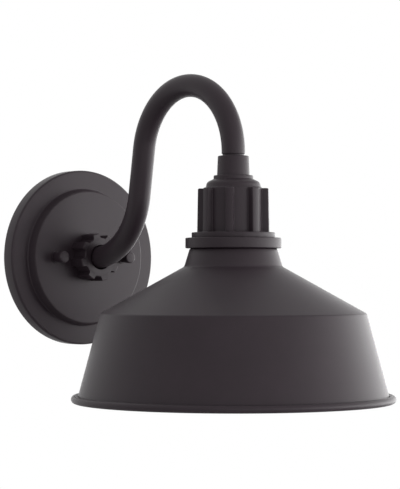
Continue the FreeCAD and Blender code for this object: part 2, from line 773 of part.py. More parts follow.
def shade():
    """One spun skin: flat top, short neck, cone, skirt and a rim rolled outwards."""
    neck_foot_z = SHADE_TOP_Z - NECK_H
    shoulder_z = neck_foot_z - CONE_H
    skirt_out = SKIRT_H * math.tan(math.radians(SKIRT_SLOPE_DEG))
    outline = [
        (SHADE_MOUTH_R, SHADE_TOP_Z),
        (NECK_TOP_R, SHADE_TOP_Z),
        (NECK_FOOT_R, neck_foot_z),
        (SHOULDER_R, shoulder_z),
        (SHOULDER_R + skirt_out, shoulder_z - SKIRT_H),
    ]
    bends = (NECK_TOP_BEND_R, NECK_FOOT_BEND_R, SHOULDER_BEND_R)
    face = skin_face(outline, bends, SHADE_T, RIM_ROLL_R, RIM_ROLL_TURN_DEG, lamp_point)
    skin = face.revolve(lamp_point(0, 0), Vector(0, 0, 1), 360)
    return drilled_for_screws(skin, RETAINER_TOP_Z, SHADE_TOP_Z)


def retaining_ring():
    ring = ring_up(RETAINER_R, SHADE_MOUTH_R, RETAINER_FOOT_Z, RETAINER_TOP_Z)
    return drilled_for_screws(ring, RETAINER_FOOT_Z, RETAINER_TOP_Z)


def shade_screws():
    tip = FLANGE_TOP_Z - SHADE_SCREW_TIP_GAP
    screws = []
    for x, y in shade_screw_places():
        shank = rod_up(SHADE_SCREW_R, RETAINER_FOOT_Z, tip, x, y)
        head = rod_up(SHADE_SCREW_HEAD_R, RETAINER_FOOT_Z - SHADE_SCREW_HEAD_H, RETAINER_FOOT_Z, x, y)
        screws.append(shank.fuse(head))
    return Part.makeCompound(screws)


# ---- the lamp socket ----

def socket_body():
    body = turned_on_lamp([
        (0, SPIGOT_TOP_Z),
        (SPIGOT_R, SPIGOT_TOP_Z),
        (SPIGOT_R, SOCKET_TOP_Z),
        (SOCKET_R, SOCKET_TOP_Z, SOCKET_EDGE_R),
        (SOCKET_R, SOCKET_FOOT_Z, SOCKET_EDGE_R),
        (SOCKET_BORE_R, SOCKET_FOOT_Z),
        (SOCKET_BORE_R, SOCKET_BORE_TOP_Z),
        (CONTACT_POCKET_R, SOCKET_BORE_TOP_Z),
        (CONTACT_POCKET_R, SOCKET_BORE_TOP_Z + CONTACT_POCKET_DEPTH),
        (0, SOCKET_BORE_TOP_Z + CONTACT_POCKET_DEPTH),
    ])
    body = body.cut(rod_up(CONTACT_STEM_R + SLIP_GAP, SOCKET_BORE_TOP_Z, SPIGOT_TOP_Z))
    shank_foot = SPIGOT_TOP_Z - TERMINAL_SHANK_IN
    for side in (-1, 1):
        x = side * TERMINAL_X
        body = body.cut(rod_up(TERMINAL_SCREW_R + SLIP_GAP, shank_foot, SPIGOT_TOP_Z, x))
        body = body.cut(cap_screw_bar(CAP_SCREW_R + SLIP_GAP, SPIGOT_R - CAP_SCREW_IN, SPIGOT_R, side))
    return body


def screw_shell():
    """The threaded brass cup that takes the lamp's cap."""
    outer = SOCKET_BORE_R - SLIP_GAP
    foot = SOCKET_BORE_TOP_Z - SHELL_L
    return turned_on_lamp([
        (SHELL_HOLE_R, SOCKET_BORE_TOP_Z),
        (outer, SOCKET_BORE_TOP_Z, 2 * SHELL_T),
        (outer, foot),
        (outer - SHELL_T, foot),
        (outer - SHELL_T, SOCKET_BORE_TOP_Z - SHELL_T),
        (SHELL_HOLE_R, SOCKET_BORE_TOP_Z - SHELL_T),
    ])


def centre_contact():
    head = rod_up(CONTACT_R, CONTACT_FACE_Z, CONTACT_FACE_Z + CONTACT_T)
    stem = rod_up(CONTACT_STEM_R, CONTACT_FACE_Z, SPIGOT_TOP_Z)
    return head.fuse(stem).removeSplitter()


def socket_cap():
    """The steel cup that joins the socket to the hollow rod."""
    outer = SPIGOT_R + SLIP_GAP + CAP_WALL
    cup = turned_on_lamp([
        (ROD_R + SLIP_GAP, CAP_TOP_Z),
        (outer, CAP_TOP_Z, CAP_WALL * 1.5),
        (outer, CAP_FOOT_Z),
        (outer - CAP_WALL, CAP_FOOT_Z),
        (outer - CAP_WALL, CAP_TOP_Z - CAP_T),
        (ROD_R + SLIP_GAP, CAP_TOP_Z - CAP_T),
    ])
    for side in (-1, 1):
        cup = cup.cut(cap_screw_bar(CAP_SCREW_R + SLIP_GAP, SPIGOT_R - CAP_SCREW_IN, outer + 1, side))
    return cup


def cap_screw_bar(radius, start, end, side):
    """A cylinder where a screw enters the socket from the side."""
    point = Vector(0, -LAMP_REACH + side * start, SOCKET_TOP_Z + CAP_SCREW_HEAD_R + SCREW_CLEAR)
    return Part.makeCylinder(radius, end - start, point, Vector(0, side, 0))


def socket_cap_screws():
    seat = SPIGOT_R + SLIP_GAP + CAP_WALL
    screws = []
    for side in (-1, 1):
        shank = cap_screw_bar(CAP_SCREW_R, SPIGOT_R - CAP_SCREW_IN, seat, side)
        head = cap_screw_bar(CAP_SCREW_HEAD_R, seat, seat + CAP_SCREW_HEAD_H, side)
        screws.append(shank.fuse(head))
    return Part.makeCompound(screws)


def terminal_plates():
    plates = []
    for side in (-1, 1):
        middle = side * TERMINAL_X
        corner = lamp_point(middle - TERMINAL_PLATE_L / 2, SPIGOT_TOP_Z) - Vector(0, TERMINAL_PLATE_W / 2, 0)
        plate = Part.makeBox(TERMINAL_PLATE_L, TERMINAL_PLATE_W, TERMINAL_PLATE_T, corner)
        hole = rod_up(TERMINAL_SCREW_R + SLIP_GAP, SPIGOT_TOP_Z, SPIGOT_TOP_Z + TERMINAL_PLATE_T, middle)
        plates.append(plate.cut(hole))
    return Part.makeCompound(plates)


def terminal_screws():
    head_z = TERMINAL_WIRE_Z + WIRE_R + WIRE_FIT
    screws = []
    for side in (-1, 1):
        x = side * TERMINAL_X
        shank = rod_up(TERMINAL_SCREW_R, SPIGOT_TOP_Z - TERMINAL_SHANK_IN, head_z, x)
        head = rod_up(TERMINAL_HEAD_R, head_z, head_z + TERMINAL_HEAD_H, x)
        screws.append(shank.fuse(head))
    return Part.makeCompound(screws)


# ---- the lamp ----

def lamp_cap():
    """The plated screw cap, open towards the glass."""
    top = LAMP_CAP_FOOT_Z + LAMP_CAP_L
    return ring_up(LAMP_CAP_R, LAMP_CAP_R - LAMP_CAP_T, LAMP_CAP_FOOT_Z, top)


def lamp_insulator():
    """The dark glass cone between the cap and the tip."""
    foot = LAMP_CAP_FOOT_Z + LAMP_CAP_L
    top = foot + LAMP_COLLAR_TAPER
    return turned_on_lamp([(0, foot), (LAMP_CAP_R, foot), (LAMP_TIP_R, top), (0, top)])


def lamp_tip():
    return turned_on_lamp([
        (0, LAMP_TOP_Z - LAMP_TIP_H), (LAMP_TIP_R, LAMP_TOP_Z - LAMP_TIP_H),
        (LAMP_TIP_R, LAMP_TOP_Z, LAMP_TIP_H / 2), (0, LAMP_TOP_Z)])


def lamp_glass():
    """A blown envelope: straight neck, hollow shoulder and round bowl."""
    neck_foot = LAMP_CAP_FOOT_Z - BULB_NECK_L
    bowl_z = LAMP_CAP_FOOT_Z - BULB_L + BULB_R
    fall = neck_foot - bowl_z
    sweep_r = (fall ** 2 + BULB_NECK_R ** 2 - BULB_R ** 2) / (2 * (BULB_R - BULB_NECK_R))
    lean = math.atan2(fall, BULB_NECK_R + sweep_r)
    neck_top = LAMP_CAP_FOOT_Z + BULB_IN_CAP

    def envelope(inset):
        bowl_r = BULB_R - inset
        neck_r = BULB_NECK_R - inset
        meet = (bowl_r * math.cos(lean), bowl_z + bowl_r * math.sin(lean))
        flare_r = sweep_r + inset
        flare_eye = BULB_NECK_R + sweep_r
        flare_mid = (flare_eye - flare_r * math.cos(lean / 2), neck_foot - flare_r * math.sin(lean / 2))
        bowl_mid_angle = (lean - math.pi / 2) / 2
        bowl_mid = (bowl_r * math.cos(bowl_mid_angle), bowl_z + bowl_r * math.sin(bowl_mid_angle))
        bottom = (0, bowl_z - bowl_r)
        edges = [
            line((neck_r, neck_top), (neck_r, neck_foot), lamp_point),
            arc((neck_r, neck_foot), flare_mid, meet, lamp_point),
            arc(meet, bowl_mid, bottom, lamp_point),
        ]
        return edges, (neck_r, neck_top), bottom

    outer, outer_top, outer_bottom = envelope(0.0)
    inner, inner_top, inner_bottom = envelope(BULB_WALL)
    close = [line(outer_bottom, inner_bottom, lamp_point)]
    brim = [line(inner_top, outer_top, lamp_point)]
    face = Part.Face(Part.Wire(outer + close + inner[::-1] + brim))
    return face.revolve(lamp_point(0, 0), Vector(0, 0, 1), 360)


# ---- wiring ----

def connector(side):
    """A tapered twist-on connector over the end of a lead."""
    up = -side
    mouth_z = LEAD_END_Z - CONNECTOR_BORE_DEPTH

    def place(radius, z):
        return Vector(side * WIRE_X + radius, -LEAD_OUT, z * up)

    hole = WIRE_R + WIRE_FIT
    tip_r = CONNECTOR_R - CONNECTOR_TAPER
    outline = [
        (0, mouth_z + CONNECTOR_BORE_DEPTH), (hole, mouth_z + CONNECTOR_BORE_DEPTH),
        (hole, mouth_z), (CONNECTOR_R, mouth_z),
        (tip_r, mouth_z + CONNECTOR_L, tip_r / 2), (0, mouth_z + CONNECTOR_L)]
    return closed_face(outline, place).revolve(place(0, 0), Vector(0, 0, 1), 360)


def wire_connectors():
    return Part.makeCompound([connector(-1), connector(1)])


def line_wire():
    return swept(lead_edges(-1), WIRE_R)


def neutral_wire():
    return swept(lead_edges(1), WIRE_R)


def ground_lug(x, start, hole, tongue_way, reach):
    """A ring terminal with a tongue for its wire."""
    ring = rod_out(hole + LUG_RIM, start, start + LUG_T, x)
    side = Vector(tongue_way.z, 0, tongue_way.x) * (LUG_TONGUE_W / 2)
    foot = Vector(x, -start, 0)
    end = foot + tongue_way * reach
    outline = Part.makePolygon([foot - side, end - side, end + side, foot + side, foot - side])
    tongue = Part.Face(outline).extrude(Vector(0, -LUG_T, 0))
    return ring.fuse(tongue).removeSplitter().cut(rod_out(hole, start, start + LUG_T, x))


def ground_lugs():
    """One ring under the ground screw, one under the nut that holds the arm."""
    screw_hole = GROUND_SCREW_R + SLIP_GAP
    rod_reach = GROUND_X + LUG_TONGUE_W / 2
    screw_lug = ground_lug(GROUND_X, PLATE_T, screw_hole, Vector(0, 0, 1), GROUND_LUG_REACH)
    rod_lug = ground_lug(0, CANOPY_INNER - LUG_T, ROD_R + SLIP_GAP, Vector(1, 0, 0), rod_reach)
    return Part.makeCompound([screw_lug, rod_lug])


def ground_wire():
    """A short jumper from the plate's lug over to the lug on the arm."""
    near = PLATE_T + LUG_T + GROUND_WIRE_R + WIRE_FIT
    far = CANOPY_INNER - LUG_T - GROUND_WIRE_R - WIRE_FIT
    start_z = GROUND_HEAD_R + WIRE_FIT
    end_z = -LUG_TONGUE_W / 2
    loop_r = (far - near) / 2

    def place(out, z):
        return Vector(GROUND_X, -out, z)

    edges = [
        line((near, start_z), (near, GROUND_LOOP_Z), place),
        arc((near, GROUND_LOOP_Z), (near + loop_r, GROUND_LOOP_Z + loop_r), (far, GROUND_LOOP_Z), place),
        line((far, GROUND_LOOP_Z), (far, end_z), place),
    ]
    return swept(edges, GROUND_WIRE_R)


def ground_screw():
    head_start = PLATE_T + LUG_T
    shank = rod_out(GROUND_SCREW_R, 0, head_start, GROUND_X)
    return shank.fuse(rod_out(GROUND_HEAD_R, head_start, head_start + GROUND_HEAD_H, GROUND_X))


NODES = {
    "canopy": canopy,
    "wall_seal": wall_seal,
    "mounting_plate": mounting_plate,
    "canopy_studs": canopy_studs,
    "stud_locknuts": stud_locknuts,
    "cap_nut_washers": cap_nut_washers,
    "cap_nut_left": lambda: cap_nut(-STUD_X),
    "cap_nut_right": lambda: cap_nut(STUD_X),
    "arm_hub": hub,
    "hub_set_screw": hub_set_screw,
    "arm_tube": arm_tube,
    "arm_end_plugs": arm_end_plugs,
    "canopy_rod": canopy_rod,
    "canopy_rod_washer": canopy_rod_washer,
    "canopy_rod_nut": canopy_rod_nut,
    "socket_cover": socket_cover,
    "cover_set_screw": cover_set_screw,
    "socket_rod": socket_rod,
    "socket_rod_washer": socket_rod_washer,
    "socket_rod_nut": socket_rod_nut,
    "fitter_ring": fitter_ring,
    "shade_gasket": shade_gasket,
    "shade": shade,
    "retaining_ring": retaining_ring,
    "shade_screws": shade_screws,
    "socket_cap": socket_cap,
    "socket_cap_screws": socket_cap_screws,
    "socket_body": socket_body,
    "screw_shell": screw_shell,
    "centre_contact": centre_contact,
    "terminal_plates": terminal_plates,
    "terminal_screws": terminal_screws,
    "line_wire": line_wire,
    "neutral_wire": neutral_wire,
    "wire_connectors": wire_connectors,
    "ground_screw": ground_screw,
    "ground_lugs": ground_lugs,
    "ground_wire": ground_wire,
    "lamp_glass": lamp_glass,
    "lamp_cap": lamp_cap,
    "lamp_insulator": lamp_insulator,
    "lamp_tip": lamp_tip,
}


os.makedirs("parts", exist_ok=True)
for name, make in NODES.items():
    shape = make()
    shape.exportStep("parts/%s.step" % name)
    facts = (name, len(shape.Solids), shape.Volume, shape.isValid())
    print("%-20s solids %d, volume %.1f mm3, valid %s" % facts)
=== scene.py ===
import json
import math

import bmesh
import bpy
from mathutils import Matrix, Vector

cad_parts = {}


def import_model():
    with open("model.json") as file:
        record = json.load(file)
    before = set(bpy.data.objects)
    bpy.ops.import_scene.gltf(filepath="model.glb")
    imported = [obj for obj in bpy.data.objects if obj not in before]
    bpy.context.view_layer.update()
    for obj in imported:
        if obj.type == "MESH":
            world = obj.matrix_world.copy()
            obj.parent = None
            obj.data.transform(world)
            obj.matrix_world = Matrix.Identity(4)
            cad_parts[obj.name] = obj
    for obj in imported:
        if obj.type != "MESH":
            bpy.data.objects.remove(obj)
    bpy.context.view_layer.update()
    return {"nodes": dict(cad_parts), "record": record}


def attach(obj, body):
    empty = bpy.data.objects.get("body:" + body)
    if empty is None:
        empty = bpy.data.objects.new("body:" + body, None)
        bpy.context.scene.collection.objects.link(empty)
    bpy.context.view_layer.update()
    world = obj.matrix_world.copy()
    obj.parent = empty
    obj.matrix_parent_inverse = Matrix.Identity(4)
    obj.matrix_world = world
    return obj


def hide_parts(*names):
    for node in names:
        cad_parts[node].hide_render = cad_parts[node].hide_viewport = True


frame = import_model()
scene = bpy.context.scene
MM = 0.001

# Sizes of the object are in millimetres, and those of the studio round it in metres.
# Out is a distance from the wall plane. The lamp axis is the vertical line through the shade, and names
# that end in _Z are heights on it.

LAMP_REACH = 180.2
SLIP_GAP = 0.05

# ---- canopy: the round two-tier plate against the wall ----
CANOPY_R = 65.0
CANOPY_TIER_DEPTH = 10.3
CANOPY_SKIN = 1.8
CANOPY_RIM_T = 5.0
CANOPY_EDGE_R = 1.5
CANOPY_BACK_EDGE_R = 0.3
CANOPY_HOLE_R = 5.3
DISC_R = 49.0
DISC_RISE = 7.0
DISC_FOOT_SPREAD = 1.8
DISC_EDGE_R = 1.0
SEAL_INSET = 1.5
SEAL_W = 2.0
SEAL_DEPTH = 2.0
CANOPY_DEPTH = CANOPY_TIER_DEPTH + DISC_RISE

# ---- round cap nuts on the canopy's face ----
STUD_SPACING = 61.0
WASHER_T = 0.8
CAP_NUT_SEAT_GAP = 0.1
CAP_NUT_SEAT_R = 3.4
CAP_NUT_SEAT_EDGE_R = 0.2
CAP_NUT_R = 4.45
CAP_NUT_L = 10.3
CAP_NUT_CROWN = 0.4
CAP_NUT_EDGE_R = 1.1
CAP_NUT_BORE_R = 2.05
CAP_NUT_BORE_DEPTH = 7.4
CAP_NUT_SEAT = CANOPY_DEPTH + WASHER_T + CAP_NUT_SEAT_GAP

# ---- arm tube, which is turned down a little just above the collar it stands in ----
TUBE_R = 8.0
TUBE_WALL = 1.4
ARCH_R = 49.1
LEG_LEAN_DEG = 9.0
ARCH_ABOVE_COLLAR = 2.5
BEND_INSIDE_HUB = 5.4
NECKED_ABOVE_COLLAR = 1.5
NECKED_BY = 0.6
NECKED_OVER = 0.35

# ---- ribbed hub round the arm's foot ----
HUB_L = 14.1
HUB_FLOOR_R = 14.4
HUB_SEAT_L = 6.0
HUB_MOUTH_R = 9.0
HUB_EDGE_R = 0.7
HUB_MOUTH_EDGE_R = 0.4
HUB_RIB_R = 17.5
HUB_RIB_W = 5.7
HUB_RIB_SUNK = 1.0
HUB_RIB_FLARE = 0.6
HUB_RIB_TURN_DEG = 14.0
HUB_FACE = CANOPY_DEPTH + HUB_L

# ---- both sets of ribs ----
RIBS = 8
RIB_TIP_EDGE = 0.5
RIB_TOP_CHAMFER = 0.6
RIB_DRAFT = 0.05

# ---- socket cover: collar, bead, dome, ribbed barrel and flange ----
COLLAR_TOP_Z = 67.6
COLLAR_H = 13.3
COLLAR_TOP_R = 10.55
COLLAR_FOOT_R = 11.1
COLLAR_EDGE_R = 0.7
COLLAR_FILLET_R = 0.4
COLLAR_MOUTH_R = 8.7
COLLAR_MOUTH_DEPTH = 2.2
TUBE_SEAT_DEPTH = 12.6
BEAD_R = 13.45
BEAD_H = 2.4
BEAD_EDGE_R = 0.6
BEAD_FOOT_EDGE_R = 0.15
DOME_LIP = 0.8
DOME_LIP_DROP = 0.4
DOME_KNEE_R = 18.0
DOME_KNEE_DROP = 2.2
DOME_KNEE_ROUND = 3.5
DOME_FOOT_R = 18.75
DOME_FOOT_DROP = 5.6
DOME_FOOT_ROUND = 1.0
DOME_DROP = 6.4
COVER_FLOOR_R = 20.0
COVER_FLOOR_EDGE_R = 0.4
COVER_FLOOR_FILLET_R = 0.8
COVER_WALL = 2.2
COVER_WEB_T = 3.5
COVER_CROWN_R = 11.5
COVER_CROWN_DROP = 7.0
COVER_ROD_HOLE_R = 5.1
COVER_RIB_H = 29.9
COVER_RIB_W = 5.4
COVER_RIB_TOP_R = 24.0
COVER_RIB_FOOT_R = 24.5
COVER_RIB_SUNK = 1.1
COVER_RIB_IN_FLANGE = 0.2
COVER_RIB_FLARE = 0.45
COVER_RIB_TURN_DEG = -2.5
COVER_FLANGE_R = 28.35
COVER_FLANGE_T = 3.7
COVER_FLANGE_EDGE_R = 0.6
COVER_FLANGE_FOOT_EDGE_R = 0.3
COLLAR_FOOT_Z = COLLAR_TOP_Z - COLLAR_H
BEAD_FOOT_Z = COLLAR_FOOT_Z - BEAD_H
RIB_TOP_Z = BEAD_FOOT_Z - DOME_DROP
FLANGE_TOP_Z = RIB_TOP_Z - COVER_RIB_H
COVER_FOOT_Z = FLANGE_TOP_Z - COVER_FLANGE_T
TUBE_END_Z = COLLAR_TOP_Z - TUBE_SEAT_DEPTH
WEB_FOOT_Z = TUBE_END_Z - COVER_WEB_T

# ---- fitter ring between the cover's flange and the shade ----
FITTER_R = 32.6
FITTER_H = 7.1
FITTER_BORE_R = 20.2
FITTER_EDGE_R = 0.6
SHADE_GASKET_R = 28.9
SHADE_GASKET_T = 0.8

# ---- spun shade ----
SHADE_T = 1.0
SHADE_MOUTH_R = 19.6
NECK_TOP_R = 29.6
NECK_FOOT_R = 33.4
NECK_H = 12.4
SHOULDER_R = 90.2
CONE_H = 31.7
SKIRT_SLOPE = math.tan(math.radians(15.0))
SKIRT_H = 58.2
NECK_TOP_BEND_R = 1.6
NECK_FOOT_BEND_R = 2.5
SHOULDER_BEND_R = 2.0
RIM_ROLL_R = 2.6
RIM_ROLL_TURN_DEG = 304.0
ENAMEL_ABOVE_RIM = 2.0
SHADE_TOP_Z = COVER_FOOT_Z - FITTER_H
NECK_FOOT_Z = SHADE_TOP_Z - NECK_H
SHOULDER_Z = NECK_FOOT_Z - CONE_H
RIM_Z = SHOULDER_Z - SKIRT_H

# ---- lamp: a round bulb on a 26 mm screw cap ----
LAMP_CAP_FOOT_Z = -2.9
LAMP_CAP_R = 12.95
LAMP_THREAD_TOP_Z = 21.0
LAMP_THREAD_PITCH = 3.63
LAMP_THREAD_TURNS = 4
LAMP_THREAD_DEPTH = 0.9
LAMP_THREAD_WALL = 0.45
LAMP_SKIRT_TOP_Z = 3.2
LAMP_SKIRT_TOP_R = 12.9
LAMP_SKIRT_TOP_BORE_R = 12.1
LAMP_SKIRT_FOOT_BORE_R = 12.3
LAMP_SKIRT_EDGE_R = 0.3
BULB_R = 30.0
BULB_L = 82.0
BULB_NECK_R = 12.2
BULB_NECK_L = 6.0
BULB_WALL = 1.0
BULB_IN_CAP = 6.0

# ---- how finely round forms are divided ----
CORNER_STEPS = 6
CAP_NUT_CORNER_STEPS = 8
LAMP_SKIRT_CORNER_STEPS = 3
SHADE_BEND_STEPS = 8
RIM_ROLL_STEPS = 32
SHADE_STEPS = 256
CANOPY_STEPS = 192
FITTER_STEPS = 160
COVER_STEPS = 128
HUB_STEPS = 96
CAP_NUT_STEPS = 64
TUBE_STEPS = 56
KNEE_STEPS = 32
ARCH_STEPS = 56
THREAD_STEPS = 48
THREAD_WAVE_STEPS = 10
LAMP_SKIRT_STEPS = 64
BULB_STEPS = 96
BULB_SWEEP_STEPS = 12
BULB_BOWL_STEPS = 32
SHARP_DEG = 32.0
THREAD_SHARP_DEG = 50.0
WELD = 1e-6
THREAD_WELD = 2e-6
SLIVER = 1e-7

# ---- studio ----
CAMERA_LENS = 139.9
CAMERA_SENSOR = 36.0
CAMERA_CLIP = (0.05, 50.0)
CAMERA_PLACE = (-0.8476, -1.1530, -0.0153)
CAMERA_AZIMUTH_DEG = -40.06
CAMERA_ELEVATION_DEG = -1.008
FLOOR_R = 0.75
FLOOR_STEPS = 128
FLOOR_PLACE = (0, -0.12, -0.32)
FILL_PLACE = (-1.4, -2.0, 0.1)
FILL_AIM = (0, -0.1, 0)
FILL_SIZE = (1.6, 1.2)
FILL_POWER = 7.0

# Soft lights of the world: the way they lie, the share of that way at which they start, their strength.
RIGHT_LIGHT = ((0.985, -0.174), 0.0, 5.6)
FRONT_LIGHT = ((0.57, -0.82), 0.3, 2.2)
BACK_LIGHT = ((-0.40, 0.917), 0.2, 0.35)
TOP_LIGHT = 0.4
# The right and the front light fade towards the top, and grow from nothing between these two heights.
SIDE_TOP_LOSS = 1.9
SIDE_FOOT = (-0.35, -0.12)
SKY_BASE = 0.28


# ---- outlines, as lists of (across, along) points ----

def heading(a, b):
    """The unit direction from a to b."""
    length = math.hypot(b[0] - a[0], b[1] - a[1])
    return ((b[0] - a[0]) / length, (b[1] - a[1]) / length)


def arc_points(centre, radius, first, turn, steps):
    """Points on an arc that starts at the angle `first` and goes on by `turn`."""
    points = []
    for i in range(steps + 1):
        angle = first + turn * i / steps
        points.append((centre[0] + radius * math.cos(angle), centre[1] + radius * math.sin(angle)))
    return points


def corner_arc(before, corner, after, radius, steps, inset=0.0):
    """Points round a corner, moved `inset` to the right of the way the outline is walked."""
    d0 = heading(before, corner)
    d1 = heading(corner, after)
    turn = math.atan2(d0[0] * d1[1] - d0[1] * d1[0], d0[0] * d1[0] + d0[1] * d1[1])
    side = 1.0 if turn > 0 else -1.0
    back = radius * math.tan(abs(turn) / 2)
    start = (corner[0] - d0[0] * back, corner[1] - d0[1] * back)
    centre = (start[0] - d0[1] * side * radius, start[1] + d0[0] * side * radius)
    first = math.atan2(-d0[0] * side, d0[1] * side)
    return arc_points(centre, radius + side * inset, first, turn, steps)


def rounded(points, steps=CORNER_STEPS):
    """A closed outline whose corners are (across, along) or (across, along, rounding radius)."""
    outline = []
    count = len(points)
    for i, point in enumerate(points):
        if len(point) == 3:
            outline += corner_arc(points[i - 1], point, points[(i + 1) % count], point[2], steps)
        else:
            outline.append(point)
    return outline


# ---- places, in metres ----

def on_lamp(radius, z):
    """A point beside the lamp axis."""
    return Vector((radius, -LAMP_REACH, z)) * MM


def on_wall(across, out):
    """A point at the canopy's height, off to one side and out from the wall."""
    return Vector((across, -out, 0)) * MM


def in_arm_plane(out, z):
    """A point or a move in the upright plane that the arm is bent in."""
    return Vector((0, -out, z)) * MM


# ---- meshes ----

def turned(bm, outline, place, steps):
    """Adds a solid of revolution; place puts (radius, along) beside its axis."""
    verts = [bm.verts.new(place(*point)) for point in outline]
    edges = [bm.edges.new((verts[i - 1], verts[i])) for i in range(len(verts))]
    axis = (place(0, 1) - place(0, 0)).normalized()
    bmesh.ops.spin(bm, geom=verts + edges, cent=place(0, 0), axis=axis, dvec=(0, 0, 0),
                   angle=math.tau, steps=steps, use_merge=True)


def verts_in(geom):
    return [item for item in geom if isinstance(item, bmesh.types.BMVert)]


def open_edges(geom):
    return [item for item in geom if isinstance(item, bmesh.types.BMEdge) and item.is_boundary]


def push(bm, loop, by, shrink=1.0):
    """Draws a closed loop of edges out by a vector and returns the new loop, shrunk about its centre."""
    drawn = bmesh.ops.extrude_edge_only(bm, edges=loop)["geom"]
    verts = verts_in(drawn)
    middle = sum((v.co for v in verts), Vector()) / len(verts)
    bmesh.ops.scale(bm, verts=verts, vec=(shrink, shrink, shrink), space=Matrix.Translation(-middle))
    bmesh.ops.translate(bm, verts=verts, vec=by)
    return open_edges(drawn)


def bend(bm, loop, centre, axis, angle, steps):
    """Draws a closed loop of edges round an axis and returns the loop at the bend's end."""
    verts = list(dict.fromkeys(v for edge in loop for v in edge.verts))
    drawn = bmesh.ops.spin(bm, geom=verts + loop, cent=centre, axis=axis, dvec=(0, 0, 0),
                           angle=angle, steps=steps, use_merge=False)
    return open_edges(drawn["geom_last"])


def close_up(bm):
    """Welds what meets, drops slivers and turns the faces outwards."""
    bmesh.ops.remove_doubles(bm, verts=bm.verts, dist=WELD)
    bmesh.ops.dissolve_degenerate(bm, edges=bm.edges, dist=SLIVER)
    bmesh.ops.recalc_face_normals(bm, faces=bm.faces)


def finish_piece(bm, name, materials, body, node, sharp_deg=SHARP_DEG):
    """Turns bm into an object with smooth faces and sharp edges that stands in for a node."""
    for face in bm.faces:
        face.smooth = True
    for edge in bm.edges:
        edge.smooth = len(edge.link_faces) != 2 or edge.calc_face_angle(0) <= math.radians(sharp_deg)
    mesh = bpy.data.meshes.new(name)
    bm.to_mesh(mesh)
    bm.free()
    for material in materials:
        mesh.materials.append(material)
    piece = bpy.data.objects.new(name, mesh)
    scene.collection.objects.link(piece)
    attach(piece, body)
    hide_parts(node)


# ---- materials ----

class Value:
    """A node's output that can be used in sums and products like a number."""

    def __init__(self, tree, socket):
        self.tree = tree
        self.socket = socket

    def math(self, operation, a, b):
        return self.tree.node("ShaderNodeMath", {"operation": operation}, {0: a, 1: b})

    def __add__(self, other):
        return self.math("ADD", self, other)

    __radd__ = __add__

    def __mul__(self, other):
        return self.math("MULTIPLY", self, other)

    __rmul__ = __mul__

    def __sub__(self, other):
        return self.math("SUBTRACT", self, other)

    def __rsub__(self, other):
        return self.math("SUBTRACT", other, self)

    def clamp(self):
        """Held between 0 and 1."""
        return self.math("MINIMUM", self.math("MAXIMUM", self, 0.0), 1.0)

    def between(self, low, high):
        """0 at low, 1 at high, held outside."""
        return ((self - low) * (1.0 / (high - low))).clamp()


class Tree:
    """The node tree of a material or a world."""

    def __init__(self, owner):
        owner.use_nodes = True
        self.tree = owner.node_tree

    def node(self, kind, settings=None, inputs=None, out=0):
        """Adds a node and returns one of its outputs. Inputs are constants or Values."""
        node = self.tree.nodes.new(kind)
        for key, value in (settings or {}).items():
            setattr(node, key, value)
        for key, value in (inputs or {}).items():
            if isinstance(value, Value):
                self.tree.links.new(value.socket, node.inputs[key])
            else:
                node.inputs[key].default_value = value
        return Value(self, node.outputs[out])


class Paint(Tree):
    """A material whose patterns lie on the piece's own coordinates."""

    def __init__(self, name, **constants):
        self.material = bpy.data.materials.new(name)
        super().__init__(self.material)
        self.shader = self.tree.nodes["Principled BSDF"]
        for key, value in constants.items():
            self.shader.inputs[key.replace("_", " ")].default_value = value
        self.place = self.node("ShaderNodeTexCoord", out="Object")

    def noise(self, scale, detail=2.0, roughness=0.5):
        return self.node("ShaderNodeTexNoise", inputs={
            "Vector": self.place, "Scale": scale, "Detail": detail, "Roughness": roughness})

    def mix(self, factor, a, b):
        """The colour a where factor is 0 and b where it is 1."""
        return self.node("ShaderNodeMix", {"data_type": "RGBA"}, {0: factor, 6: a, 7: b}, out=2)

    def feed(self, name, value):
        self.tree.links.new(value.socket, self.shader.inputs[name])

    def bump(self, height, strength, distance):
        self.feed("Normal", self.node("ShaderNodeBump", inputs={
            "Height": height, "Strength": strength, "Distance": distance}))


def colour(r, g, b):
    return (r, g, b, 1.0)


def powder_coat():
    """Fine-grained dark bronze coat: tiny rounded grains, a little uneven in shade and gloss."""
    paint = Paint("dark_bronze_powder_coat", Metallic=0.0, IOR=1.28)
    grain = paint.noise(2600.0, roughness=0.55)
    cloud = paint.noise(38.0, detail=3.0, roughness=0.6)
    level = (grain * 0.55 + cloud * 0.45).between(0.3, 0.7)
    dark, light = colour(0.0150, 0.0098, 0.0130), colour(0.0222, 0.0150, 0.0195)
    paint.feed("Base Color", paint.mix(level, dark, light))
    paint.feed("Roughness", grain * 0.10 + cloud * 0.06 + 0.42)
    paint.bump(grain, strength=0.28, distance=0.00010)
    return paint.material


def inner_enamel():
    """Satin off-white coat on the shade's inside."""
    paint = Paint("shade_inner_enamel", Metallic=0.0, IOR=1.5)
    grain = paint.noise(1800.0)
    cloud = paint.noise(25.0)
    paint.feed("Base Color", paint.mix(cloud, colour(0.76, 0.745, 0.70), colour(0.82, 0.805, 0.765)))
    paint.feed("Roughness", grain * 0.10 + 0.36)
    paint.bump(grain, strength=0.15, distance=0.00008)
    return paint.material


def zinc():
    """Dull zinc plating with a faint spangle and fine scratches."""
    paint = Paint("zinc_plated_steel", Metallic=1.0)
    spangle = paint.noise(260.0, detail=3.0, roughness=0.6)
    scratch = paint.noise(1500.0, roughness=0.6)
    paint.feed("Base Color", paint.mix(spangle, colour(0.40, 0.40, 0.39), colour(0.54, 0.54, 0.52)))
    paint.feed("Roughness", spangle * 0.16 + scratch * 0.10 + 0.20)
    paint.bump(scratch, strength=0.10, distance=0.00005)
    return paint.material


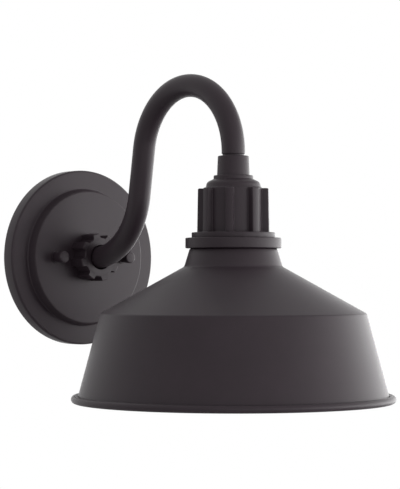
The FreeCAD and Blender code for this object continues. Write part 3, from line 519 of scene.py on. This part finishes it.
def brass():
    """Plain drawn brass, a little stained."""
    paint = Paint("drawn_brass", Metallic=1.0)
    stain = paint.noise(90.0, detail=3.0, roughness=0.6)
    line = paint.noise(1400.0)
    paint.feed("Base Color", paint.mix(stain, colour(0.63, 0.44, 0.17), colour(0.78, 0.58, 0.27)))
    paint.feed("Roughness", stain * 0.14 + line * 0.08 + 0.20)
    paint.bump(line, strength=0.08, distance=0.00004)
    return paint.material


def nickel():
    """Bright nickel plating with faint stains."""
    paint = Paint("nickel_plated_cap", Metallic=1.0)
    stain = paint.noise(140.0, detail=3.0, roughness=0.55)
    paint.feed("Base Color", paint.mix(stain, colour(0.66, 0.65, 0.62), colour(0.78, 0.77, 0.74)))
    paint.feed("Roughness", stain * 0.15 + 0.18)
    paint.bump(stain, strength=0.05, distance=0.00005)
    return paint.material


def porcelain():
    """White porcelain under a clear, slightly rippled glaze."""
    paint = Paint("white_glazed_porcelain", Metallic=0.0, IOR=1.52, Coat_Weight=0.6, Coat_Roughness=0.08)
    speck = paint.noise(420.0, detail=3.0, roughness=0.6)
    ripple = paint.noise(60.0)
    paint.feed("Base Color", paint.mix(speck, colour(0.80, 0.785, 0.74), colour(0.88, 0.87, 0.84)))
    paint.feed("Roughness", speck * 0.12 + 0.20)
    paint.bump(ripple, strength=0.12, distance=0.0002)
    return paint.material


def frosted():
    """Soft white coated glass, a little denser in some places than others."""
    paint = Paint("frosted_lamp_glass", Metallic=0.0, IOR=1.5, Subsurface_Weight=0.25,
                  Subsurface_Scale=0.006, Coat_Weight=0.35, Coat_Roughness=0.12)
    cloud = paint.noise(45.0)
    grain = paint.noise(2400.0)
    paint.feed("Base Color", paint.mix(cloud, colour(0.84, 0.835, 0.81), colour(0.90, 0.895, 0.875)))
    paint.feed("Roughness", grain * 0.10 + 0.24)
    paint.bump(grain, strength=0.06, distance=0.00004)
    return paint.material


def plain(name, dark, light, rough=0.38, scale=900.0, strength=0.1):
    """Moulded plastic, rubber or insulation: a faint mottle and a fine grain."""
    paint = Paint(name, Metallic=0.0, IOR=1.46)
    grain = paint.noise(scale)
    cloud = paint.noise(80.0)
    paint.feed("Base Color", paint.mix(cloud, dark, light))
    paint.feed("Roughness", grain * 0.12 + rough)
    paint.bump(grain, strength, distance=0.00006)
    return paint.material


COAT = powder_coat()
ENAMEL = inner_enamel()
NICKEL = nickel()
GLASS = frosted()

SLOT_PAINT = {
    "powder_coat": COAT,
    "nickel": NICKEL,
    "frosted_glass": GLASS,
    "zinc_steel": zinc(),
    "brass": brass(),
    "porcelain": porcelain(),
    "black_rubber": plain("soft_black_rubber", colour(0.012, 0.012, 0.012), colour(0.024, 0.024, 0.023),
                          rough=0.62, scale=700.0, strength=0.2),
    "black_lead": plain("black_insulation", colour(0.014, 0.014, 0.014), colour(0.024, 0.024, 0.024)),
    "white_lead": plain("white_insulation", colour(0.66, 0.66, 0.63), colour(0.76, 0.76, 0.73)),
    "green_lead": plain("green_insulation", colour(0.012, 0.15, 0.035), colour(0.02, 0.22, 0.06)),
    "connector": plain("orange_connector_plastic", colour(0.62, 0.13, 0.012), colour(0.72, 0.18, 0.02),
                       rough=0.32),
    "dark_glass": plain("black_insulating_glass", colour(0.010, 0.008, 0.012), colour(0.022, 0.018, 0.026),
                        rough=0.12, scale=300.0, strength=0.05),
}

for row in frame["record"]["subparts"]:
    for material_slot in frame["nodes"][row["node"]].material_slots:
        material_slot.material = SLOT_PAINT[row["material_slot"]]


# ---- shade ----

def skin_sides(points, bends):
    """Both sides of a spun skin with a rolled rim, each as a list of points from the top down."""
    end = points[-1]
    d = heading(points[-2], end)
    eye_radius = RIM_ROLL_R - SHADE_T
    eye = (end[0] - d[1] * eye_radius, end[1] + d[0] * eye_radius)
    first = math.atan2(-d[0], d[1])
    roll = math.radians(RIM_ROLL_TURN_DEG)
    d_start = heading(points[0], points[1])
    sides = []
    for inset in (0.0, SHADE_T):
        side = [(points[0][0] + d_start[1] * inset, points[0][1] - d_start[0] * inset)]
        for i, radius in enumerate(bends, 1):
            side += corner_arc(points[i - 1], points[i], points[i + 1], radius, SHADE_BEND_STEPS, inset)
        side += arc_points(eye, eye_radius + inset, first, roll, RIM_ROLL_STEPS)
        sides.append(side)
    return sides


def skirt_r(z):
    """The skirt's outer radius at a height."""
    return SHOULDER_R + (SHOULDER_Z - z) * SKIRT_SLOPE


def shade():
    """One spun skin: flat top, short neck, cone, skirt and a rolled rim, with enamel on its inside."""
    outer, inner = skin_sides(
        [(SHADE_MOUTH_R, SHADE_TOP_Z), (NECK_TOP_R, SHADE_TOP_Z), (NECK_FOOT_R, NECK_FOOT_Z),
         (SHOULDER_R, SHOULDER_Z), (skirt_r(RIM_Z), RIM_Z)],
        [NECK_TOP_BEND_R, NECK_FOOT_BEND_R, SHOULDER_BEND_R])
    bm = bmesh.new()
    turned(bm, outer + inner[::-1], on_lamp, SHADE_STEPS)
    close_up(bm)
    for face in bm.faces:
        middle = face.calc_center_median()
        z = middle.z / MM
        away = middle - on_lamp(0, z)
        # The inside is what faces the lamp axis or the ground.
        inward = face.normal.dot(away.normalized()) < 0 or face.normal.z < -0.5
        clear_of_roll = z > RIM_Z + ENAMEL_ABOVE_RIM and away.length < skirt_r(z) * MM
        face.material_index = 1 if inward and clear_of_roll else 0
    finish_piece(bm, "shade_skin", [COAT, ENAMEL], "fixture", "shade")


# ---- ribbed castings ----

def rib(bm, foot, axis, first, turn, width, root_r, floor_r, foot_r, top_r, length, flare):
    """One radial rib along axis, with a flared root, rounded edges and a chamfered top."""
    side = axis.cross(first)
    half = width / 2
    flank = [
        (root_r, half + flare), (floor_r, half + flare * 0.75), (floor_r + flare * 0.25, half + flare * 0.3),
        (floor_r + flare * 0.75, half + RIB_DRAFT), (floor_r + flare * 1.2, half),
        (foot_r - RIB_TIP_EDGE, half - RIB_DRAFT),
        (foot_r - RIB_TIP_EDGE * 0.3, half - RIB_TIP_EDGE * 0.3 - RIB_DRAFT), (foot_r, half - RIB_TIP_EDGE)]
    outline = flank + [(r, -w) for r, w in flank[::-1]]
    bottom = bm.faces.new([bm.verts.new((foot + first * r + side * w) * MM) for r, w in outline])
    verts = list(bottom.verts)
    section = [bottom] + list(bottom.edges)
    tip_r = foot_r
    for rise, next_tip_r in (length - RIB_TOP_CHAMFER, top_r), (RIB_TOP_CHAMFER, top_r - RIB_TOP_CHAMFER):
        section = bmesh.ops.extrude_face_region(bm, geom=section)["geom"]
        raised = verts_in(section)
        tip_from = (tip_r - RIB_TIP_EDGE) * MM - WELD
        tip = [v for v in raised if (v.co - foot * MM).dot(first) > tip_from]
        bmesh.ops.translate(bm, verts=raised, vec=axis * rise * MM)
        bmesh.ops.translate(bm, verts=tip, vec=first * (next_tip_r - tip_r) * MM)
        tip_r = next_tip_r
        verts += raised
    bmesh.ops.rotate(bm, verts=verts, cent=foot * MM, matrix=Matrix.Rotation(math.radians(turn), 3, axis))


def socket_cover():
    """A hollow casting: collar, bead, dome, ribbed barrel and flange, with a web for the hollow rod."""
    outline = rounded([
        (COLLAR_MOUTH_R, COLLAR_TOP_Z),
        (COLLAR_TOP_R, COLLAR_TOP_Z, COLLAR_EDGE_R),
        (COLLAR_FOOT_R, COLLAR_FOOT_Z, COLLAR_FILLET_R),
        (BEAD_R, COLLAR_FOOT_Z, BEAD_EDGE_R),
        (BEAD_R, BEAD_FOOT_Z, BEAD_FOOT_EDGE_R),
        (BEAD_R + DOME_LIP, BEAD_FOOT_Z - DOME_LIP_DROP),
        (DOME_KNEE_R, BEAD_FOOT_Z - DOME_KNEE_DROP, DOME_KNEE_ROUND),
        (DOME_FOOT_R, BEAD_FOOT_Z - DOME_FOOT_DROP, DOME_FOOT_ROUND),
        (COVER_FLOOR_R, RIB_TOP_Z, COVER_FLOOR_EDGE_R),
        (COVER_FLOOR_R, FLANGE_TOP_Z, COVER_FLOOR_FILLET_R),
        (COVER_FLANGE_R, FLANGE_TOP_Z, COVER_FLANGE_EDGE_R),
        (COVER_FLANGE_R, COVER_FOOT_Z, COVER_FLANGE_FOOT_EDGE_R),
        (COVER_FLOOR_R - COVER_WALL, COVER_FOOT_Z),
        (COVER_FLOOR_R - COVER_WALL, WEB_FOOT_Z - COVER_CROWN_DROP),
        (COVER_CROWN_R, WEB_FOOT_Z),
        (COVER_ROD_HOLE_R, WEB_FOOT_Z),
        (COVER_ROD_HOLE_R, TUBE_END_Z),
        (TUBE_R + SLIP_GAP, TUBE_END_Z),
        (TUBE_R + SLIP_GAP, COLLAR_TOP_Z - COLLAR_MOUTH_DEPTH),
        (COLLAR_MOUTH_R, COLLAR_TOP_Z - COLLAR_MOUTH_DEPTH)])
    bm = bmesh.new()
    turned(bm, outline, on_lamp, COVER_STEPS)
    foot = Vector((0, -LAMP_REACH, FLANGE_TOP_Z - COVER_RIB_IN_FLANGE))
    for i in range(RIBS):
        rib(bm, foot, Vector((0, 0, 1)), Vector((0, -1, 0)), COVER_RIB_TURN_DEG + 360 / RIBS * i,
            width=COVER_RIB_W, root_r=COVER_FLOOR_R - COVER_RIB_SUNK, floor_r=COVER_FLOOR_R,
            foot_r=COVER_RIB_FOOT_R, top_r=COVER_RIB_TOP_R, length=COVER_RIB_H + COVER_RIB_IN_FLANGE,
            flare=COVER_RIB_FLARE)
    close_up(bm)
    finish_piece(bm, "socket_cover_casting", [COAT], "fixture", "socket_cover")


def arm_hub():
    """A ribbed boss with a wider mouth round the tube."""
    outline = rounded([
        (TUBE_R + SLIP_GAP, CANOPY_DEPTH),
        (HUB_FLOOR_R, CANOPY_DEPTH),
        (HUB_FLOOR_R, HUB_FACE, HUB_EDGE_R),
        (HUB_MOUTH_R, HUB_FACE, HUB_MOUTH_EDGE_R),
        (HUB_MOUTH_R, CANOPY_DEPTH + HUB_SEAT_L),
        (TUBE_R + SLIP_GAP, CANOPY_DEPTH + HUB_SEAT_L)])
    bm = bmesh.new()
    turned(bm, outline, on_wall, HUB_STEPS)
    for i in range(RIBS):
        rib(bm, Vector((0, -CANOPY_DEPTH, 0)), Vector((0, -1, 0)), Vector((1, 0, 0)),
            HUB_RIB_TURN_DEG + 360 / RIBS * i,
            width=HUB_RIB_W, root_r=HUB_FLOOR_R - HUB_RIB_SUNK, floor_r=HUB_FLOOR_R,
            foot_r=HUB_RIB_R, top_r=HUB_RIB_R, length=HUB_L, flare=HUB_RIB_FLARE)
    close_up(bm)
    finish_piece(bm, "ribbed_arm_hub", [COAT], "fixture", "arm_hub")


# ---- turned pieces ----

def fitter_ring():
    """The ring that the shade is clamped to, with a recess for the gasket in its foot."""
    recess_r = SHADE_GASKET_R + SLIP_GAP
    recess_z = SHADE_TOP_Z + SHADE_GASKET_T
    outline = rounded([
        (FITTER_BORE_R, COVER_FOOT_Z),
        (FITTER_R, COVER_FOOT_Z, FITTER_EDGE_R),
        (FITTER_R, SHADE_TOP_Z, FITTER_EDGE_R),
        (recess_r, SHADE_TOP_Z),
        (recess_r, recess_z),
        (FITTER_BORE_R, recess_z)])
    bm = bmesh.new()
    turned(bm, outline, on_lamp, FITTER_STEPS)
    close_up(bm)
    finish_piece(bm, "shade_fitter_ring", [COAT], "fixture", "fitter_ring")


def canopy():
    """A spun shell in two tiers, with a groove for the seal in its back rim."""
    disc_foot_r = DISC_R + DISC_FOOT_SPREAD
    groove_r = CANOPY_R - SEAL_INSET
    outline = rounded([
        (CANOPY_HOLE_R, CANOPY_DEPTH),
        (DISC_R, CANOPY_DEPTH, DISC_EDGE_R),
        (disc_foot_r, CANOPY_TIER_DEPTH, DISC_EDGE_R),
        (CANOPY_R, CANOPY_TIER_DEPTH, CANOPY_EDGE_R),
        (CANOPY_R, 0.0, CANOPY_BACK_EDGE_R),
        (groove_r, 0.0),
        (groove_r, SEAL_DEPTH),
        (groove_r - SEAL_W, SEAL_DEPTH),
        (groove_r - SEAL_W, 0.0),
        (CANOPY_R - CANOPY_RIM_T, 0.0),
        (CANOPY_R - CANOPY_RIM_T, CANOPY_TIER_DEPTH - CANOPY_SKIN),
        (disc_foot_r - CANOPY_SKIN, CANOPY_TIER_DEPTH - CANOPY_SKIN),
        (DISC_R - CANOPY_SKIN, CANOPY_DEPTH - CANOPY_SKIN),
        (CANOPY_HOLE_R, CANOPY_DEPTH - CANOPY_SKIN)])
    bm = bmesh.new()
    turned(bm, outline, on_wall, CANOPY_STEPS)
    close_up(bm)
    finish_piece(bm, "wall_canopy", [COAT], "fixture", "canopy")


def cap_nut(side, x):
    """A blind nut that widens a little towards its rounded face."""
    top = CAP_NUT_SEAT + CAP_NUT_L
    bore_end = CAP_NUT_SEAT + CAP_NUT_BORE_DEPTH
    outline = rounded([
        (CAP_NUT_BORE_R, CAP_NUT_SEAT),
        (CAP_NUT_SEAT_R, CAP_NUT_SEAT, CAP_NUT_SEAT_EDGE_R),
        (CAP_NUT_R, top - CAP_NUT_CROWN, CAP_NUT_EDGE_R),
        (0.0, top),
        (0.0, bore_end),
        (CAP_NUT_BORE_R, bore_end)], CAP_NUT_CORNER_STEPS)
    bm = bmesh.new()
    turned(bm, outline, lambda radius, out: on_wall(x + radius, out), CAP_NUT_STEPS)
    close_up(bm)
    finish_piece(bm, "round_cap_nut_" + side, [COAT], "cap_nut_" + side, "cap_nut_" + side)


# ---- arm ----

def arm():
    """A tube bent along straight runs and arcs: the outer wall is drawn to the collar, then the inner."""
    lean = math.radians(LEG_LEAN_DEG)
    arch_out, arch_z = LAMP_REACH - ARCH_R, COLLAR_TOP_Z + ARCH_ABOVE_COLLAR
    leg_top = (arch_out - ARCH_R * math.cos(lean), arch_z + ARCH_R * math.sin(lean))
    knee_out = leg_top[0] - leg_top[1] * math.tan(lean)
    bend_out = HUB_FACE - BEND_INSIDE_HUB
    bend_turn = math.pi / 2 - lean
    bend_back = knee_out - bend_out
    bend_r = bend_back / math.tan(bend_turn / 2)
    leg_length = math.hypot(leg_top[0] - knee_out, leg_top[1]) - bend_back
    necked_from = COLLAR_TOP_Z + NECKED_ABOVE_COLLAR
    necked_r = TUBE_R - NECKED_BY
    bore_r = TUBE_R - TUBE_WALL
    bm = bmesh.new()

    def draw_along(loop, neck):
        """Draws a loop from the hub to the tube's end and shrinks it by `neck` above the collar."""
        loop = push(bm, loop, in_arm_plane(bend_out - CANOPY_DEPTH, 0))
        loop = bend(bm, loop, in_arm_plane(bend_out, bend_r), (-1, 0, 0), bend_turn, KNEE_STEPS)
        loop = push(bm, loop, in_arm_plane(leg_length * math.sin(lean), leg_length * math.cos(lean)))
        loop = bend(bm, loop, in_arm_plane(arch_out, arch_z), (1, 0, 0), math.pi - lean, ARCH_STEPS)
        loop = push(bm, loop, in_arm_plane(0, necked_from - arch_z))
        loop = push(bm, loop, in_arm_plane(0, -NECKED_OVER), neck)
        return push(bm, loop, in_arm_plane(0, TUBE_END_Z - necked_from + NECKED_OVER))

    start = Matrix.Translation(in_arm_plane(CANOPY_DEPTH, 0)) @ Matrix.Rotation(math.pi / 2, 4, "X")
    ring = bmesh.ops.create_circle(bm, cap_ends=False, radius=TUBE_R * MM, segments=TUBE_STEPS, matrix=start)
    foot = list(dict.fromkeys(edge for v in ring["verts"] for edge in v.link_edges))
    still = in_arm_plane(0, 0)
    push(bm, draw_along(foot, necked_r / TUBE_R), still, bore_r / necked_r)
    draw_along(push(bm, foot, still, bore_r / TUBE_R), 1.0)
    close_up(bm)
    finish_piece(bm, "bent_arm_tube", [COAT], "fixture", "arm_tube")


# ---- lamp ----

def screw_thread(bm):
    """The cap's rolled thread: a thin wavy wall swept round the lamp axis as a helix."""
    verts = []
    for i in range(THREAD_WAVE_STEPS * LAMP_THREAD_TURNS + 1):
        share = i / THREAD_WAVE_STEPS
        radius = LAMP_CAP_R - LAMP_THREAD_DEPTH / 2 * (1 - math.cos(math.tau * share))
        verts.append(bm.verts.new(on_lamp(radius, LAMP_THREAD_TOP_Z - LAMP_THREAD_PITCH * share)))
    edges = [bm.edges.new(pair) for pair in zip(verts, verts[1:])]
    bmesh.ops.spin(bm, geom=verts + edges, cent=on_lamp(0, 0), axis=(0, 0, 1),
                   dvec=(0, 0, -LAMP_THREAD_PITCH * MM / THREAD_STEPS), angle=math.tau,
                   steps=THREAD_STEPS, use_merge=False)
    bmesh.ops.remove_doubles(bm, verts=bm.verts, dist=THREAD_WELD)
    bmesh.ops.recalc_face_normals(bm, faces=bm.faces)
    bmesh.ops.solidify(bm, geom=bm.faces[:], thickness=LAMP_THREAD_WALL * MM)


def lamp_cap():
    """The threaded shell and the plain skirt below it."""
    bm = bmesh.new()
    screw_thread(bm)
    skirt = rounded([
        (LAMP_SKIRT_TOP_BORE_R, LAMP_SKIRT_TOP_Z),
        (LAMP_SKIRT_TOP_R, LAMP_SKIRT_TOP_Z),
        (LAMP_CAP_R, LAMP_CAP_FOOT_Z, LAMP_SKIRT_EDGE_R),
        (LAMP_SKIRT_FOOT_BORE_R, LAMP_CAP_FOOT_Z)], LAMP_SKIRT_CORNER_STEPS)
    turned(bm, skirt, on_lamp, LAMP_SKIRT_STEPS)
    finish_piece(bm, "threaded_lamp_cap", [NICKEL], "lamp", "lamp_cap", THREAD_SHARP_DEG)


def lamp_glass():
    """A blown bulb: straight neck, swept shoulder and round bowl, closed and hollow."""
    neck_z = LAMP_CAP_FOOT_Z - BULB_NECK_L
    bowl_z = LAMP_CAP_FOOT_Z - BULB_L + BULB_R
    fall = neck_z - bowl_z
    sweep_r = (fall ** 2 + BULB_NECK_R ** 2 - BULB_R ** 2) / (2 * (BULB_R - BULB_NECK_R))
    sweep_centre = (BULB_NECK_R + sweep_r, neck_z)
    sweep = math.atan2(fall, BULB_NECK_R + sweep_r)

    def wall(inset):
        top = [(BULB_NECK_R - inset, LAMP_CAP_FOOT_Z + BULB_IN_CAP)]
        shoulder = arc_points(sweep_centre, sweep_r + inset, math.pi, sweep, BULB_SWEEP_STEPS)
        bowl = arc_points((0.0, bowl_z), BULB_R - inset, sweep, -(sweep + math.pi / 2), BULB_BOWL_STEPS)
        return top + shoulder + bowl[1:-1] + [(0.0, bowl_z - BULB_R + inset)]

    bm = bmesh.new()
    turned(bm, wall(0.0) + wall(BULB_WALL)[::-1], on_lamp, BULB_STEPS)
    close_up(bm)
    finish_piece(bm, "blown_lamp_glass", [GLASS], "lamp", "lamp_glass")


shade()
socket_cover()
arm_hub()
fitter_ring()
canopy()
cap_nut("left", -STUD_SPACING / 2)
cap_nut("right", STUD_SPACING / 2)
arm()
lamp_cap()
lamp_glass()


# ---- studio: camera, floor and light ----

def camera():
    """The photograph's point of view."""
    data = bpy.data.cameras.new("camera")
    data.lens = CAMERA_LENS
    data.sensor_width = CAMERA_SENSOR
    data.clip_start, data.clip_end = CAMERA_CLIP
    azimuth, elevation = math.radians(CAMERA_AZIMUTH_DEG), math.radians(CAMERA_ELEVATION_DEG)
    forward = Vector((-math.sin(azimuth) * math.cos(elevation), math.cos(azimuth) * math.cos(elevation),
                      -math.sin(elevation)))
    cam = bpy.data.objects.new("camera", data)
    cam.rotation_mode = "QUATERNION"
    cam.location = CAMERA_PLACE
    cam.rotation_quaternion = forward.to_track_quat("-Z", "Y")
    scene.collection.objects.link(cam)
    scene.camera = cam


def floor():
    """A pale disc that is seen from above and lets the view from below through."""
    bm = bmesh.new()
    bmesh.ops.create_circle(bm, cap_ends=True, radius=FLOOR_R, segments=FLOOR_STEPS)
    bmesh.ops.translate(bm, verts=bm.verts, vec=FLOOR_PLACE)
    mesh = bpy.data.meshes.new("floor")
    bm.to_mesh(mesh)
    bm.free()
    disc = bpy.data.objects.new("floor", mesh)
    scene.collection.objects.link(disc)
    paint = Paint("pale_floor", Metallic=0.0, Specular_IOR_Level=0.2)
    cloud = paint.noise(6.0)
    paint.feed("Base Color", paint.mix(cloud, colour(0.86, 0.86, 0.86), colour(0.90, 0.90, 0.90)))
    paint.feed("Roughness", cloud * 0.1 + 0.6)
    from_below = paint.node("ShaderNodeNewGeometry", out="Backfacing")
    clear = paint.node("ShaderNodeBsdfTransparent")
    pale = Value(paint, paint.shader.outputs[0])
    surface = paint.node("ShaderNodeMixShader", inputs={0: from_below, 1: pale, 2: clear})
    paint.tree.links.new(surface.socket, paint.tree.nodes["Material Output"].inputs["Surface"])
    mesh.materials.append(paint.material)


def world():
    """White where it is seen or mirrored, dim to matt surfaces, with soft lights added to it."""
    sky = bpy.data.worlds.new("studio")
    scene.world = sky
    studio = Tree(sky)
    way = studio.node("ShaderNodeTexCoord", out="Generated")
    x, y, z = (studio.node("ShaderNodeSeparateXYZ", inputs={0: way}, out=axis) for axis in "XYZ")

    def ray(kind):
        return studio.node("ShaderNodeLightPath", out=kind)

    def light(toward, start, strength):
        return (x * toward[0] + y * toward[1]).between(start, 1.0) * strength

    camera_ray = ray("Is Camera Ray")
    seen = (camera_ray + ray("Is Glossy Ray") + ray("Is Transmission Ray")).clamp()
    side = light(*RIGHT_LIGHT) + light(*FRONT_LIGHT)
    side = side * (1.0 - z.clamp() * SIDE_TOP_LOSS).clamp() * z.between(*SIDE_FOOT)
    lights = side + light(*BACK_LIGHT) + z.clamp() * TOP_LIGHT
    level = lights * (1.0 - camera_ray) + seen + (1.0 - seen) * SKY_BASE
    background = studio.tree.nodes["Background"]
    background.inputs["Color"].default_value = colour(1.0, 1.0, 1.0)
    studio.tree.links.new(level.socket, background.inputs["Strength"])


def front_fill():
    """A weak soft lamp to the left of the camera."""
    data = bpy.data.lights.new("front_fill", "AREA")
    data.shape = "RECTANGLE"
    data.size, data.size_y = FILL_SIZE
    data.energy = FILL_POWER
    lamp = bpy.data.objects.new("front_fill", data)
    lamp.location = FILL_PLACE
    lamp.rotation_mode = "QUATERNION"
    lamp.rotation_quaternion = (Vector(FILL_AIM) - Vector(FILL_PLACE)).to_track_quat("-Z", "Y")
    scene.collection.objects.link(lamp)


scene.view_settings.view_transform = "Standard"
camera()
floor()
world()
front_fill()
